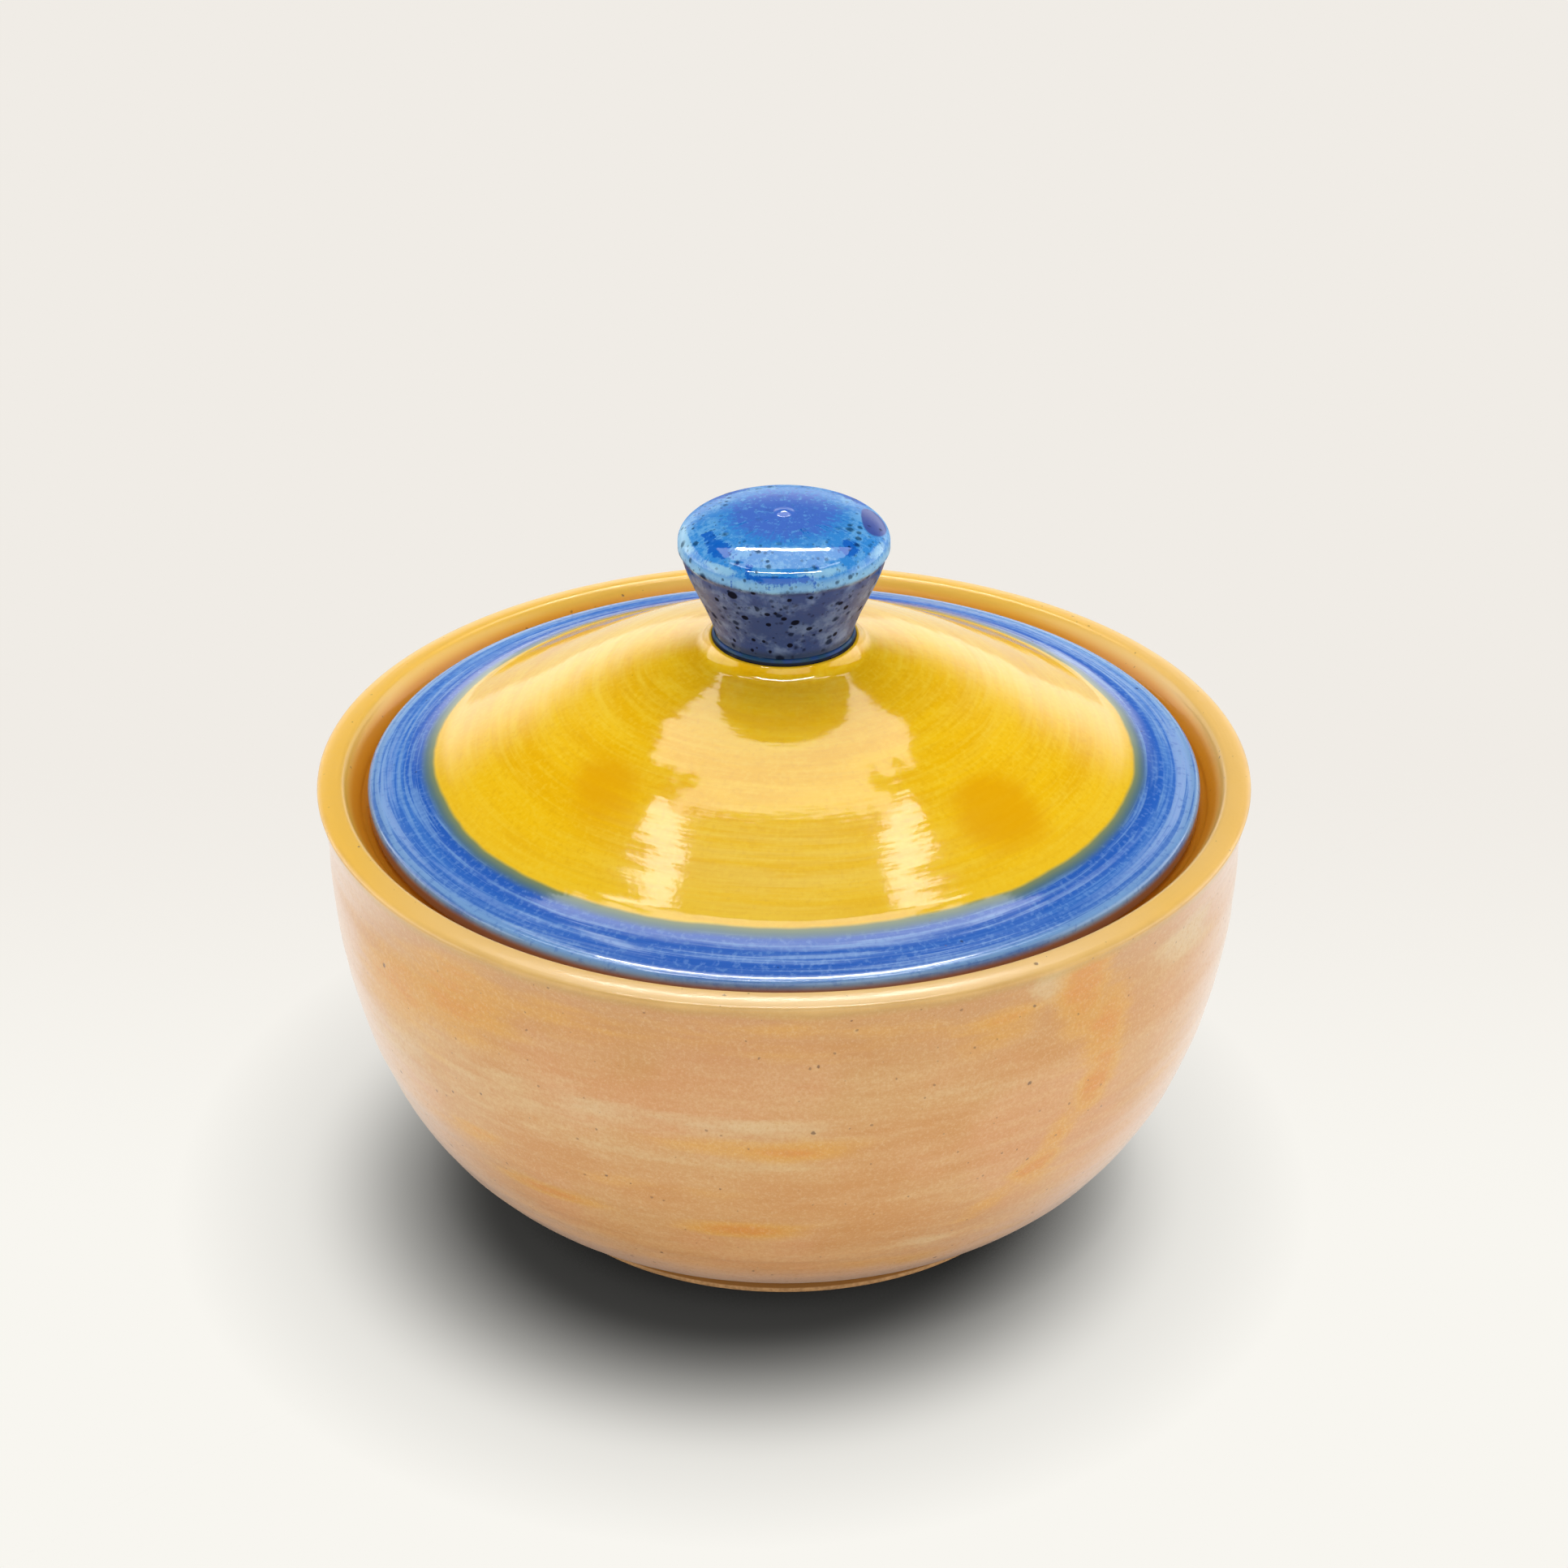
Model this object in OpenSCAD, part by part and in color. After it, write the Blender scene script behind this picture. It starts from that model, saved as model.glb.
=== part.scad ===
// A wheel-thrown stoneware yarn bowl with a lift-off lid.
// The bowl stands on a turned foot ring and carries the lid on a ledge just inside its rim.
// The lid is a low cone with a gentle shoulder round its knob and a shallow brim at its edge.
// The knob is a separate thrown piece, stuck down on a ring of slip.
// The origin is on the axis, on the table. +Z is up. Sizes are in millimetres.
// Every outline is drawn as half a section, with the radius first and the height second.

/* [Bowl] */
// Outside diameter across the widest part of the rim
rim_d = 144; // [140:0.5:150]
// Height of the rim's crest above the table
bowl_h = 69.6; // [64:0.2:80]
// Thickness of the thrown wall
wall_t = 4.4; // [3.6:0.1:5.4]
// Outside diameter at the top of the belly, just under the rim
belly_d = 141; // [138:0.1:142.6]
// Share of the belly's height over which its side stays nearly upright
belly_upright = 0.29; // [0.2:0.01:0.5]
// Where the low belly's curve heads for, as a share of the belly's radius
belly_low_r = 0.91; // [0.86:0.002:0.94]
// Where the low belly's curve heads for, as a share of the belly's height
belly_low_z = 0.186; // [0.14:0.002:0.24]
// Thickness of the clay in the middle of the floor
floor_t = 5.8; // [4.4:0.1:8]
// Radius of the nearly flat floor inside, as a share of the belly's radius
floor_share = 0.42; // [0.3:0.01:0.5]

/* [Rim] */
// Width of the rim's rolled top, from its inner crest out to its widest edge
roll_w = 3.6; // [3:0.1:4.6]
// Drop from the crest to the widest edge
roll_drop = 1.1; // [0.8:0.1:2.6]
// Height of the flare that carries the rim out from the belly
flare_h = 9.4; // [6:0.2:14]

/* [Foot] */
// Outside diameter of the foot ring where it stands on the table
foot_d = 83.8; // [76:0.2:92]
// Height of the foot ring up to the belly
foot_h = 3.6; // [2.8:0.1:4.6]
// Width of the foot ring, from its outside to the recess
foot_w = 5.6; // [4:0.1:9]
// Depth of the turned groove between the foot ring and the belly
groove_depth = 1.1; // [0.6:0.1:1.8]
// Height of the recess turned out under the floor
recess_h = 2.2; // [1.2:0.1:3]
// Slope allowed to the side of the recess
recess_slope = 1.2; // [0.4:0.1:2]

/* [Ledge for the lid] */
// Depth of the ledge below the rim's crest
seat_depth = 4.3; // [3.8:0.1:7]
// Width of the flat ledge
seat_w = 5.2; // [4.2:0.1:6.4]
// Thickness of the ledge at its inner edge
seat_t = 2.6; // [2:0.1:3.6]
// Gap between the lid's edge and the foot of the wall round it
seat_gap = 0.9; // [0.5:0.1:1.4]
// Height of the slope under the ledge, as a share of the ledge's width
seat_slope = 1.3; // [0.9:0.1:1.8]

/* [Lid] */
// Outside diameter of the lid
lid_d = 128.4; // [126.4:0.1:129]
// Thickness of the lid's edge
edge_h = 3.2; // [2.6:0.1:4]
// Rounding of the lid's upper edge
edge_round = 1.3; // [0.8:0.1:1.6]
// Height from the top of the lid's edge to the flat where the knob sits
dome_h = 24.1; // [18:0.1:28]
// Diameter at which the gentle shoulder round the knob turns down into the side
shoulder_d = 55; // [46:1:60]
// Slope of the shoulder, in degrees below level
shoulder_slope = 18.5; // [12:0.5:21]
// How far the lid curves down just outside the knob's flat
collar_drop = 2; // [1.2:0.1:2.4]
// Width of the shallow brim inside the lid's edge
brim_w = 10.5; // [8:0.1:13]
// Height of the brim's inner end above the top of the lid's edge
brim_h = 3.2; // [2.6:0.1:4.4]
// Thickness of the dome
dome_t = 4.4; // [3.6:0.1:5.4]
// Width of the lid's flat underside, from its edge in to the hollow
rest_w = 5; // [4:0.1:6]

/* [Knob] */
// Largest diameter of the knob
knob_d = 32.2; // [28:0.2:36]
// Height of the knob above the slip
knob_h = 20; // [17:0.2:24]
// Diameter of the knob's waist, where it meets the slip
waist_d = 21.4; // [18:0.2:22]
// Height of the knob's domed cap
cap_h = 5.3; // [4.4:0.1:7]
// Roundness of the cap: 2 is an ellipse, and more is flatter on top with a fuller edge
cap_power = 2.25; // [2:0.05:2.8]
// Height of the small nib left at the middle of the cap
nib_h = 0.5; // [0.3:0.1:0.8]
// Radius of the nib
nib_r = 1.6; // [1:0.1:2.4]
// Thickness of the slip under the knob
slip_t = 1; // [0.6:0.1:1.4]
// Diameter of the slip ring where it lies on the lid
slip_d = 22.2; // [22:0.1:23.6]

/* [Smoothness] */
// Segments round each turned piece
turn_steps = 180; // [96:12:240]
// Straight steps along each long curve of an outline
curve_steps = 22; // [14:2:30]
// Straight steps along each short curve of an outline
short_steps = 10; // [6:2:16]

/* [Hidden] */

rim_r = rim_d / 2;
belly_r = belly_d / 2;
foot_r = foot_d / 2;
lid_r = lid_d / 2;
knob_r = knob_d / 2;
waist_r = waist_d / 2;
slip_r = slip_d / 2;

// Heights and radii of the bowl
widest_z = bowl_h - roll_drop;
crest_r = rim_r - roll_w;
belly_top_z = widest_z - flare_h;
belly_foot_r = foot_r + 0.85;
floor_z = recess_h + floor_t;
floor_rise = 0.9;
recess_r = foot_r - foot_w;
break_edge = 0.5;

// Heights and radii of the ledge and the inside
seat_z = bowl_h - seat_depth;
seat_r = lid_r + seat_gap;
ledge_r = seat_r - seat_w;
inside_r = belly_r - wall_t;
ledge_root_z = seat_z - seat_t - seat_slope * seat_w;

// Heights and radii of the lid, and of the knob on it
edge_z = seat_z + edge_h;
rest_r = lid_r - rest_w;
knob_seat_z = edge_z + dome_h;
collar_r = slip_r + 2.5;
collar_z = knob_seat_z - collar_drop;
shoulder_r = shoulder_d / 2;
shoulder_z = collar_z - (shoulder_r - collar_r) * tan(shoulder_slope);
brim_r = lid_r - brim_w;
brim_z = edge_z + brim_h;
side_slope = atan2(shoulder_z - brim_z, brim_r - shoulder_r);
turn_run = 5;
hollow_z = knob_seat_z - 1.3 * dome_t;
knob_z = knob_seat_z + slip_t;
side_h = knob_h - cap_h;
cap_z = knob_z + side_h;
lip_h = 0.8;

// Points along a smooth curve steered by three or four control points
function blend2(p, t) = (1 - t) * (1 - t) * p[0] + 2 * t * (1 - t) * p[1] + t * t * p[2];
function blend3(p, t) = (1 - t) * blend2([p[0], p[1], p[2]], t) + t * blend2([p[1], p[2], p[3]], t);
function curve(p, steps) = [
    for (i = [0:steps]) len(p) == 3 ? blend2(p, i / steps) : blend3(p, i / steps)
];

// Points along part of an ellipse about a centre, from one angle to another
function bow(centre, size, from, to, steps) = [
    for (i = [0:steps])
        let (a = from + (to - from) * i / steps)
            centre + [size[0] * cos(a), size[1] * sin(a)]
];

// An outline without its first or its last point, for joining it to its neighbour
function after_first(p) = [for (i = [1:len(p) - 1]) p[i]];
function before_last(p) = [for (i = [0:len(p) - 2]) p[i]];

// The foot ring, from the middle of the floor's underside out to the groove
function foot_outline() = [
    [0, recess_h],
    [recess_r - recess_slope, recess_h],
    [recess_r, break_edge],
    [recess_r + break_edge, 0],
    [foot_r - break_edge, 0],
    [foot_r, break_edge],
    [foot_r + 0.2, 0.5 * foot_h],
    [foot_r - groove_depth, 0.8 * foot_h]
];

// The belly, which swells from the foot ring almost to the rim's own width
function belly_outline() = curve([
    [belly_foot_r, foot_h],
    [belly_low_r * belly_r, belly_low_z * belly_top_z],
    [belly_r, (1 - belly_upright) * belly_top_z],
    [belly_r, belly_top_z]
], curve_steps);

// The flare under the rim, out to the widest edge
function flare_outline() = curve([
    [belly_r, belly_top_z],
    [belly_r + 0.2, belly_top_z + 0.55 * flare_h],
    [rim_r, widest_z]
], short_steps);

// The rolled top of the rim, from its widest edge up to the crest
function roll_outline() = bow([crest_r, widest_z], [roll_w, roll_drop], 0, 90, 2 * short_steps);

// The inner side of the rim, down to the ledge and under it
function seat_outline() = [
    [crest_r - 0.5, bowl_h - 0.3],
    [crest_r - 0.8, bowl_h - 1],
    [seat_r + 0.2, seat_z + break_edge],
    [seat_r, seat_z],
    [ledge_r + 0.4, seat_z],
    [ledge_r, seat_z - 0.4],
    [ledge_r, seat_z - seat_t]
];

// The inside of the bowl, from under the ledge down to the edge of the floor
function inside_outline() = curve([
    [inside_r, ledge_root_z],
    [inside_r, 0.66 * ledge_root_z],
    [0.92 * inside_r, floor_z + 4],
    [floor_share * belly_r, floor_z + floor_rise]
], curve_steps);

// A point on the way from one point to another, a set distance along
function toward(p, q, run) = p + (q - p) * run / norm(q - p);

// Top of the lid, from the knob's flat out over the shoulder, the side and the brim to the edge
collar = [collar_r, collar_z];
shoulder = [shoulder_r, shoulder_z];
brim = [brim_r, brim_z];
function dome_outline() = concat(
    curve([
        [slip_r + 0.4, knob_seat_z],
        [slip_r + 1.1, collar_z + (collar_r - slip_r - 1.1) * tan(shoulder_slope)],
        collar
    ], short_steps),
    curve([toward(shoulder, collar, turn_run), shoulder, toward(shoulder, brim, turn_run)],
        short_steps),
    curve([toward(brim, shoulder, turn_run), brim, [lid_r - edge_round, edge_z]], short_steps)
);

// The hollow under the lid, from the flat underside in to the middle
under_brim = brim - dome_t * [sin(side_slope), cos(side_slope)];
hollow_reach = 0.4 * brim_r;
function hollow_outline() = concat(
    [[rest_r - 0.8, seat_z + 0.6]],
    curve([
        under_brim,
        under_brim + hollow_reach * [-1, tan(side_slope)],
        [0.4 * under_brim[0], hollow_z],
        [0, hollow_z]
    ], curve_steps)
);

// The knob's side, from the slip up past the waist to the lip under the cap
function knob_side() = curve([
    [waist_r, knob_z],
    [waist_r + 0.1, knob_z + 0.18 * side_h],
    [0.945 * knob_r, knob_z + 0.66 * side_h],
    [knob_r - 0.5, cap_z - 2 * lip_h]
], short_steps);

// The cap, from the lip up to the foot of the nib
function cap_outline() = [
    for (i = [0:2 * short_steps])
        let (u = sin(45 * i / short_steps), r = knob_r * pow(1 - pow(u, cap_power), 1 / cap_power))
            if (r > nib_r) [r, cap_z + (cap_h - nib_h) * u]
];

// The nib that the thrower's finger leaves at the middle of the cap
function nib_outline() = [
    [nib_r, cap_z + cap_h - nib_h],
    [0.4 * nib_r, cap_z + cap_h - 0.2 * nib_h],
    [0, cap_z + cap_h]
];

module turned(outline) {
    rotate_extrude($fn = turn_steps)
        polygon(outline);
}

module bowl() {
    color([0.84, 0.65, 0.45])
        turned(concat(
            foot_outline(),
            belly_outline(),
            after_first(flare_outline()),
            after_first(roll_outline()),
            seat_outline(),
            inside_outline(),
            [[0, floor_z]]
        ));
}

module lid() {
    color([0.93, 0.74, 0.18])
        turned(concat(
            [[0, knob_seat_z]],
            before_last(dome_outline()),
            bow([lid_r - edge_round, edge_z - edge_round], [edge_round, edge_round], 90, 0, 6),
            [[lid_r, seat_z + 0.7], [lid_r - 0.7, seat_z], [rest_r, seat_z]],
            hollow_outline()
        ));
}

module knob() {
    color([0.32, 0.5, 0.8])
        turned(concat(
            [[0, knob_z]],
            knob_side(),
            [[knob_r, cap_z - lip_h]],
            cap_outline(),
            nib_outline()
        ));
}

module slip_ring() {
    color([0.1, 0.16, 0.3])
        turned([
            [0, knob_seat_z],
            [slip_r, knob_seat_z],
            [slip_r - 0.1, knob_seat_z + 0.3 * slip_t],
            [waist_r + 0.2, knob_seat_z + 0.7 * slip_t],
            [waist_r, knob_z],
            [0, knob_z]
        ]);
}

bowl();
lid();
knob();
slip_ring();
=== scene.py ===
import math
import bpy
import numpy as np
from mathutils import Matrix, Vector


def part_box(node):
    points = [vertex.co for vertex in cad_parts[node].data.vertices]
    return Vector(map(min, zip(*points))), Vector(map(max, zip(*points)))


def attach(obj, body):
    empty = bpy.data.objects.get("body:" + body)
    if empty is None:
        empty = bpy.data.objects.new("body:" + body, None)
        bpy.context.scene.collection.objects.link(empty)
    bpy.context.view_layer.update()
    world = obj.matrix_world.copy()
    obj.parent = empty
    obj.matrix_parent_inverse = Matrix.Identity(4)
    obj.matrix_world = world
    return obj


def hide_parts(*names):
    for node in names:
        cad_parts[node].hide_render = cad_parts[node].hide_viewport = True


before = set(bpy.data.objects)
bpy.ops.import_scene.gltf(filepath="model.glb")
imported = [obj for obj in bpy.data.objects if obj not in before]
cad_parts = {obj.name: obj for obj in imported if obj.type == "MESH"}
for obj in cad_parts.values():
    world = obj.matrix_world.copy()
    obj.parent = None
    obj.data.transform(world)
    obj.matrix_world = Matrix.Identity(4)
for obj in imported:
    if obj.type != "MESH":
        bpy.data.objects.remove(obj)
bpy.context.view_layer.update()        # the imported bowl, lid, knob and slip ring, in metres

mm = 0.001
scene = bpy.context.scene
scene.view_settings.view_transform = "Standard"


def measured(node):
    # the radius, the foot's height and the top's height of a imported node, in millimetres
    low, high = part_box(node)
    return [round(v / mm, 3) for v in (high[0], low[2], high[2])]


bowlRadius, _, bowlTop = measured("bowl")
lidRadius, lidSeat, lidTop = measured("lid")
slipRadius, slipFoot, slipTop = measured("slip_ring")
knobRadius, knobFoot, knobTop = measured("knob")


# outlines
# An outline is half a section: columns are the radius and the height, in millimetres.

def curve(points, steps=40):
    # a Bezier curve: every control point weighted by its Bernstein polynomial
    p = np.array(points, float)
    n = len(p) - 1
    t = np.linspace(0, 1, steps + 1)[:, None]
    k = np.arange(n + 1)
    weight = np.array([math.comb(n, i) for i in k]) * t**k * (1 - t)**(n - k)
    return weight @ p


def bow(centre, size, start, end, steps=12):
    # part of an ellipse: centre + size * (cos a, sin a)
    a = np.radians(np.linspace(start, end, steps + 1))
    return np.array(centre) + np.array(size) * np.stack([np.cos(a), np.sin(a)], 1)


def toward(p, q, run):
    # the point a set distance from p on the way to q
    p, q = np.array(p, float), np.array(q, float)
    return p + (q - p) * run / np.linalg.norm(q - p)


def outline(*parts, step):
    # joins the parts, drops points that repeat, and spaces points evenly along each stretch
    p = np.vstack([np.array(q, float).reshape(-1, 2) for q in parts])
    keep = np.r_[True, np.linalg.norm(np.diff(p, axis=0), axis=1) > 1e-6]
    p = p[keep]
    gaps = np.linalg.norm(np.diff(p, axis=0), axis=1)
    count = np.maximum(1, np.ceil(gaps / step).astype(int))
    start = np.repeat(np.arange(len(gaps)), count)
    share = (np.arange(count.sum()) - np.repeat(np.cumsum(count) - count, count)) / count[start]
    q = p[start] + (p[start + 1] - p[start]) * share[:, None]
    return np.vstack([q, p[-1:]])


def lengthAlong(line):
    # how far each point is from the first, along the outline
    return np.r_[0, np.cumsum(np.linalg.norm(np.diff(line, axis=0), axis=1))]


def spin(name, line, turns, relief=None, fields=None):
    # point(i, a) = (r_i sin a, -r_i cos a, z_i), moved along the outline's normal by relief(i, a)
    # angle 0 faces the front and grows to the right, seen from the front
    r, z = line[1:-1, 0], line[1:-1, 1]
    a = np.linspace(-math.pi, math.pi, turns, endpoint=False)
    along = lengthAlong(line)[1:-1]
    dr, dz = np.gradient(r, along), np.gradient(z, along)
    size = np.hypot(dr, dz)
    nr, nz = dz / size, -dr / size
    rows, n = len(r), turns
    at = (along[:, None], r[:, None], z[:, None], a[None, :])
    rise = relief(*at) if relief else np.zeros((rows, n))
    rr = (r[:, None] + nr[:, None] * rise) * mm
    zz = (z[:, None] + nz[:, None] * rise) * mm
    grid = np.stack([rr * np.sin(a), -rr * np.cos(a), zz], -1).reshape(-1, 3)
    ends = np.array([[0, 0, line[0, 1] * mm], [0, 0, line[-1, 1] * mm]])
    points = np.vstack([grid, ends])
    i = np.arange(rows - 1)[:, None] * n
    j, k = np.arange(n), (np.arange(n) + 1) % n
    quads = np.stack([i + j, i + k, i + n + k, i + n + j], -1).reshape(-1, 4)
    first = np.stack([np.full(n, rows * n), k, j], -1)
    last = np.stack([np.full(n, rows * n + 1), (rows - 1) * n + j, (rows - 1) * n + k], -1)
    mesh = bpy.data.meshes.new(name)
    mesh.from_pydata(points.tolist(), [], quads.tolist() + first.tolist() + last.tolist())
    mesh.polygons.foreach_set("use_smooth", np.ones(len(mesh.polygons), bool))
    for label, field in (fields or {}).items():
        value = np.broadcast_to(field(*at), (rows, n)).reshape(-1)
        store = mesh.attributes.new(label, "FLOAT", "POINT")
        store.data.foreach_set("value", np.r_[value, value[0], value[-1]].astype(np.float32))
    piece = bpy.data.objects.new(name, mesh)
    scene.collection.objects.link(piece)
    mesh.update()
    return piece


def fade(value, start, end):
    # 0 before start, 1 past end and straight between them; start may be the larger of the two
    return np.clip((value - start) / (end - start), 0, 1)


def throwingRings(across, angle, pitch, rise, seed, waves=5):
    # a sum of helical waves: strength_k * sin(2 pi across / wave_k + turn_k * angle + phase_k)
    rng = np.random.default_rng(seed)
    total = 0
    for k in range(waves):
        wave = pitch * rng.uniform(0.6, 1.9)
        turn = rng.integers(-2, 3)
        strength = rng.uniform(0.4, 1)
        phase = rng.uniform(0, 6.28)
        total = total + strength * np.sin(2 * math.pi * (across / wave) + turn * angle + phase)
    return rise * total / waves


def placed(table, angle, across):
    # each row is (angle in degrees, place, half width in degrees, half height, lean per degree, strength)
    # its mask falls off as exp(-q^3), q being the distance in half widths and half heights
    total = 0
    deg = np.degrees(angle)
    for at, place, wide, tall, lean, strength in table:
        da = (deg - at + 180) % 360 - 180
        dz = across - place - lean * da
        total = np.maximum(total, strength * np.exp(-((da / wide)**2 + (dz / tall)**2)**1.5))
    return total


# node helpers

class nodePen:
    # writes nodes into one tree: each call makes a node, sets its values and links its inputs
    def __init__(self, tree):
        self.tree = tree
        self.column = 0

    def link(self, value, socket):
        self.tree.links.new(value, socket)

    def add(self, kind, inputs=None, **settings):
        node = self.tree.nodes.new(kind)
        self.column += 1
        node.location = (180 * (self.column % 12), -220 * (self.column // 12))
        for key, value in settings.items():
            setattr(node, key, value)
        for key, value in (inputs or {}).items():
            if isinstance(value, bpy.types.NodeSocket):
                self.link(value, node.inputs[key])
            else:
                node.inputs[key].default_value = value
        return node

    def math(self, operation, a, b=0.0):
        return self.add("ShaderNodeMath", {0: a, 1: b}, operation=operation).outputs[0]

    def plus(self, a, b):
        return self.math("ADD", a, b)

    def minus(self, a, b):
        return self.math("SUBTRACT", a, b)

    def times(self, a, b):
        return self.math("MULTIPLY", a, b)

    def larger(self, a, b):
        return self.math("MAXIMUM", a, b)

    def around(self, value, spread):
        # a noise of mean 0.5 as a push of plus or minus half the spread
        return self.times(self.minus(value, 0.5), spread)

    def ramp(self, value, low, high, toLow=0.0, toHigh=1.0, kind="SMOOTHSTEP"):
        inputs = {0: value, 1: low, 2: high, 3: toLow, 4: toHigh}
        return self.add("ShaderNodeMapRange", inputs, interpolation_type=kind).outputs[0]

    def mix(self, share, a, b):
        return self.add("ShaderNodeMix", {0: share, 6: a, 7: b}, data_type="RGBA").outputs[2]

    def vector(self, x, y, z=0.0):
        return self.add("ShaderNodeCombineXYZ", {0: x, 1: y, 2: z}).outputs[0]

    def scaled(self, vector, scale):
        return self.add("ShaderNodeVectorMath", {0: vector, 3: scale}, operation="SCALE").outputs[0]

    def moved(self, vector, by):
        return self.add("ShaderNodeVectorMath", {0: vector, 1: by}, operation="ADD").outputs[0]

    def place(self):
        return self.add("ShaderNodeTexCoord").outputs["Object"]

    def stored(self, label):
        return self.add("ShaderNodeAttribute", attribute_name=label).outputs["Fac"]

    def facing(self):
        return self.add("ShaderNodeLayerWeight", {"Blend": 0.5}).outputs["Facing"]

    def group(self, tree, **values):
        inputs = {key.replace("_", " "): value for key, value in values.items()}
        return self.add("ShaderNodeGroup", inputs, node_tree=tree).outputs[0]


def srgb(r, g, b):
    # an 8-bit display colour as scene-linear values
    c = np.array([r, g, b]) / 255
    linear = np.where(c <= 0.04045, c / 12.92, ((c + 0.055) / 1.055)**2.4)
    return (float(linear[0]), float(linear[1]), float(linear[2]), 1.0)


def newGroup(name, output, **inputs):
    tree = bpy.data.node_groups.new(name, "ShaderNodeTree")
    for key, start in inputs.items():
        label = key.replace("_", " ")
        socket = tree.interface.new_socket(label, in_out="INPUT", socket_type="NodeSocketFloat")
        socket.default_value = start
    tree.interface.new_socket(output, in_out="OUTPUT", socket_type="NodeSocketFloat")
    pen = nodePen(tree)
    return tree, pen, pen.add("NodeGroupInput").outputs, pen.add("NodeGroupOutput").inputs[0]


def aboutAxis(pen):
    # millimetres about the pot's axis: radius, height and the unit vector round it
    part = pen.add("ShaderNodeSeparateXYZ", {0: pen.place()}).outputs
    radius = pen.math("SQRT", pen.plus(pen.times(part[0], part[0]), pen.times(part[1], part[1])))
    safe = pen.larger(radius, 1e-5)
    return {
        "radius": pen.times(radius, 1 / mm), "height": pen.times(part[2], 1 / mm),
        "sine": pen.math("DIVIDE", part[0], safe), "cosine": pen.math("DIVIDE", part[1], safe),
    }


def makeStreaks():
    # streaks that follow the turning of the wheel: long round the pot, fine across it
    tree, pen, given, out = newGroup(
        "glazeStreaks", "Value", Across=0, Per_mm=1, Round=3, Detail=3, Seed=0, Drift=0.3)
    axis = aboutAxis(pen)
    slow = pen.vector(axis["sine"], axis["cosine"], given["Seed"])
    drift = pen.add("ShaderNodeTexNoise", {"Vector": slow, "Scale": 1.3, "Detail": 1.0}).outputs[0]
    across = pen.times(pen.plus(given["Across"], pen.times(drift, given["Drift"])), given["Per mm"])
    where = pen.vector(
        pen.times(axis["sine"], given["Round"]), pen.times(axis["cosine"], given["Round"]),
        pen.plus(across, given["Seed"]))
    noise = pen.add("ShaderNodeTexNoise", {
        "Vector": where, "Scale": 1.0, "Detail": given["Detail"], "Roughness": 0.6})
    pen.link(noise.outputs[0], out)
    return tree


def makeMottle():
    # clouds and grain in the glaze, the same in every direction
    tree, pen, given, out = newGroup("glazeMottle", "Value", Per_mm=1, Detail=4, Roughness=0.55, Seed=0)
    noise = pen.add("ShaderNodeTexNoise", noise_dimensions="4D", inputs={
        "Vector": pen.scaled(pen.place(), 1 / mm), "W": given["Seed"], "Scale": given["Per mm"],
        "Detail": given["Detail"], "Roughness": given["Roughness"]})
    pen.link(noise.outputs[0], out)
    return tree


def makeSpecks():
    # iron specks burnt through the glaze: some of the cells hold one, of uneven size and ragged
    tree, pen, given, out = newGroup("ironSpecks", "Mask", Per_mm=0.4, Size=0.12, Share=0.3, Seed=0)
    place = pen.scaled(pen.place(), 1 / mm)
    ragged = pen.add("ShaderNodeTexNoise", {"Vector": place, "Scale": 2.2, "Detail": 1.0}).outputs[1]
    shift = pen.vector(pen.times(given["Seed"], 37.0), pen.times(given["Seed"], 91.0))
    where = pen.moved(pen.moved(place, pen.scaled(ragged, 0.35)), shift)
    cells = pen.add("ShaderNodeTexVoronoi", {"Vector": where, "Scale": given["Per mm"]}).outputs
    odd = pen.add("ShaderNodeSeparateColor", {0: cells["Color"]}).outputs
    big = pen.times(given["Size"], pen.plus(pen.times(odd[1], odd[1]), 0.35))
    chosen = pen.math("LESS_THAN", odd[0], given["Share"])
    spot = pen.ramp(cells["Distance"], pen.times(big, 1.25), pen.times(big, 0.6))
    pen.link(pen.times(chosen, spot), out)
    return tree


def makeSkin():
    # the height of the glazed skin: fine throwing rings and a soft orange-peel
    tree, pen, given, out = newGroup(
        "glazedSkin", "Height", Across=0, Rings=1, Ring_Per_mm=0.6, Peel=0.5, Peel_Per_mm=0.8, Seed=0)
    rings = pen.group(
        streaks, Across=given["Across"], Per_mm=given["Ring Per mm"], Round=1.6, Detail=2.0,
        Seed=given["Seed"], Drift=1.5)
    peel = pen.group(mottle, Per_mm=given["Peel Per mm"], Detail=2.0, Seed=given["Seed"])
    pen.link(pen.plus(pen.times(rings, given["Rings"]), pen.times(peel, given["Peel"])), out)
    return tree


streaks, mottle, specks = makeStreaks(), makeMottle(), makeSpecks()
skin = makeSkin()
print("node groups made:", ", ".join(g.name for g in bpy.data.node_groups))


def newMaterial(name, glaze):
    material = bpy.data.materials.new(name)
    material.use_nodes = True
    material.node_tree.nodes.clear()
    pen = nodePen(material.node_tree)
    shader = pen.add("ShaderNodeBsdfPrincipled", {
        "Roughness": glaze["roughness"], "Coat Weight": glaze["coat"],
        "Coat Roughness": glaze["coatRoughness"], "Coat IOR": glaze["coatIor"],
        "Specular IOR Level": glaze["specular"]})
    pen.add("ShaderNodeOutputMaterial", {"Surface": shader.outputs[0]})
    return material, pen, shader.inputs


def wire(pen, given, colour, height, lift):
    # colour and bump into the Principled shader's inputs; lift is the bump's depth in metres
    pen.link(colour, given["Base Color"])
    bump = pen.add("ShaderNodeBump", {"Strength": 1.0, "Distance": lift, "Height": height}).outputs[0]
    pen.link(bump, given["Normal"])
    pen.link(bump, given["Coat Normal"])


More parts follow.
